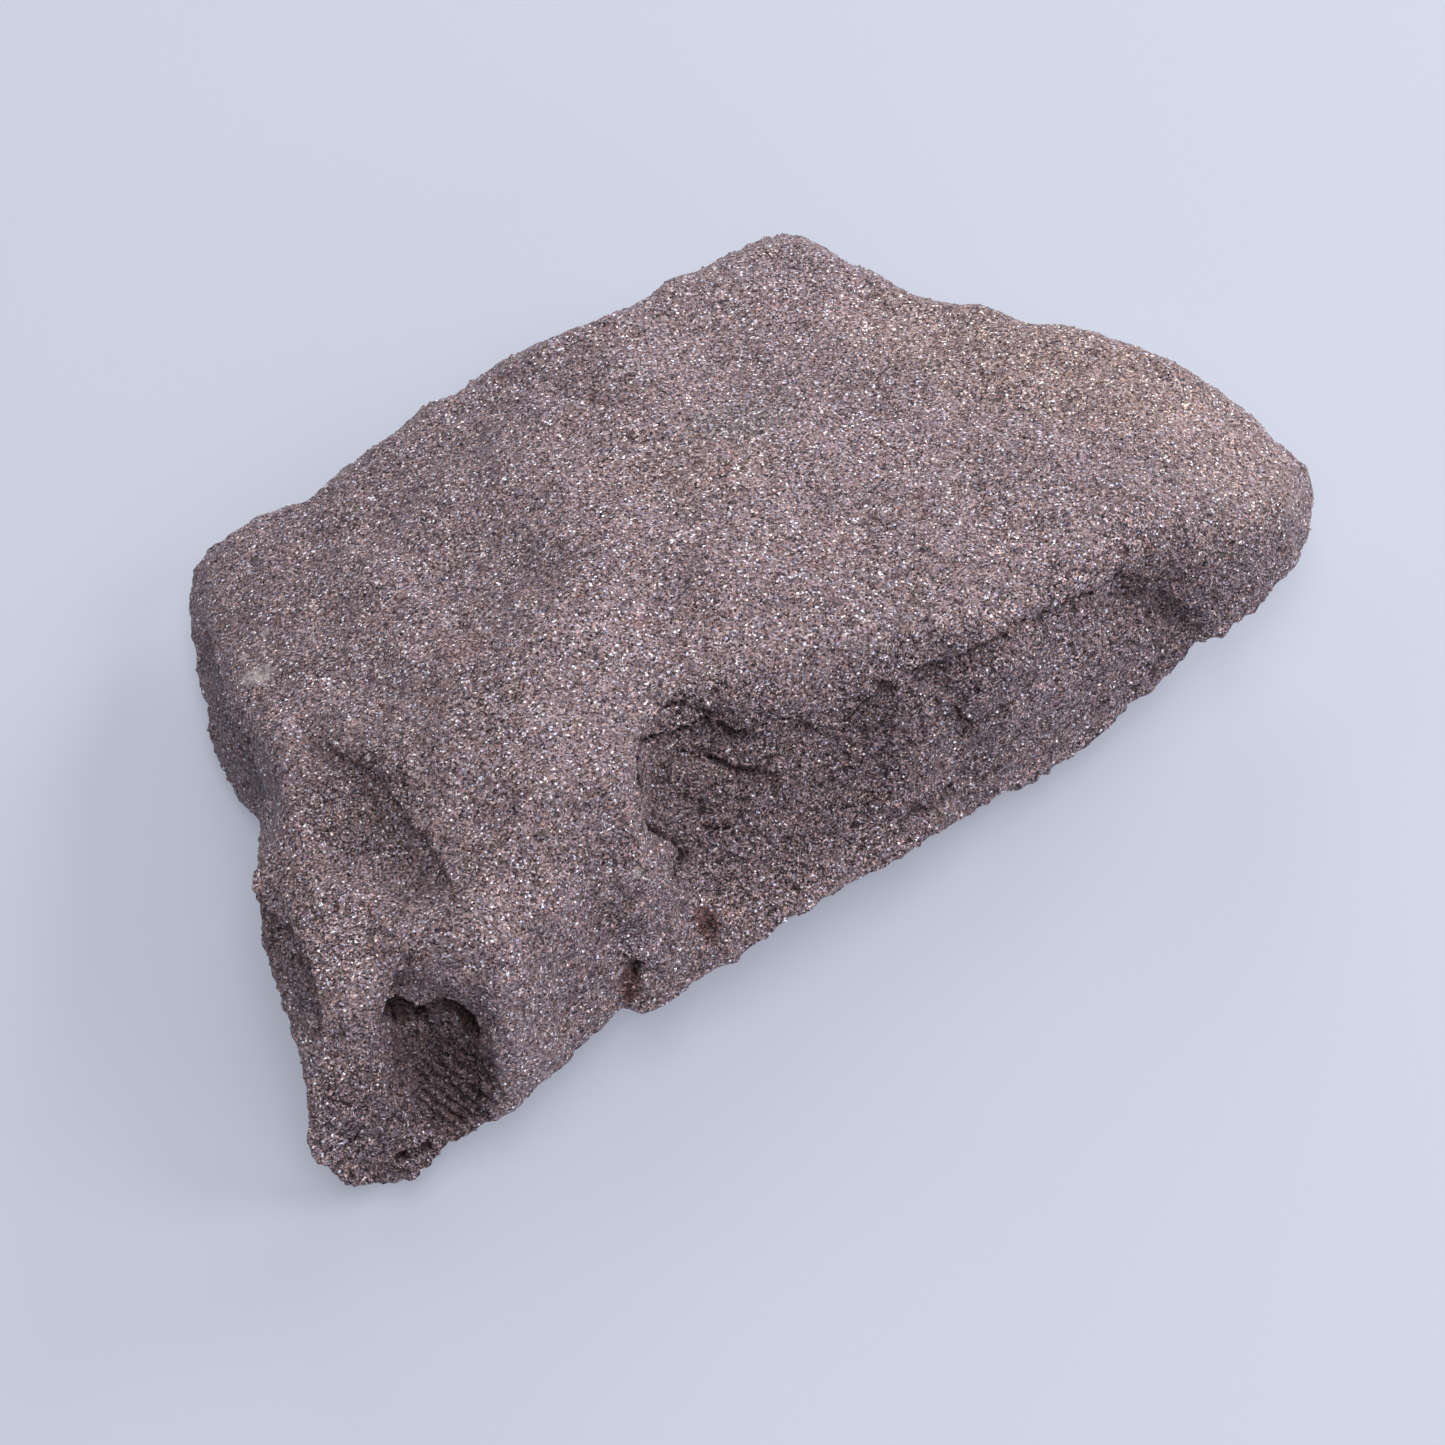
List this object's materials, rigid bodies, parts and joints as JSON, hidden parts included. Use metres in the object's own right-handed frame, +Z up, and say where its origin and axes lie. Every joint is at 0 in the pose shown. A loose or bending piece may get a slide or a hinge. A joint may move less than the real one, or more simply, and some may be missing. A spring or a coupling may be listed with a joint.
{
  "type": "sandstone specimen with tosudite",
  "caption": "Natural hand specimen of fine-grained purplish brown sandstone with tosudite: a domed bedding face, broken side faces with a spalled scar and a scoop, and a flat patch to rest on.",
  "frame": {"origin": "middle of the stone's box in plan, at the height of the flat patch that it rests on", "axes": "+Z up from the resting patch, +X along the stone's longest side towards its right tip, +Y away from the broken front face"},
  "size_m": [0.1152, 0.1036, 0.0296],
  "materials": {
    "sandstone": "matt granular broken sandstone with fine glinting quartz grains"
  },
  "bodies": {
    "root": {"sandstone": "sandstone"}
  },
  "joints": []
}
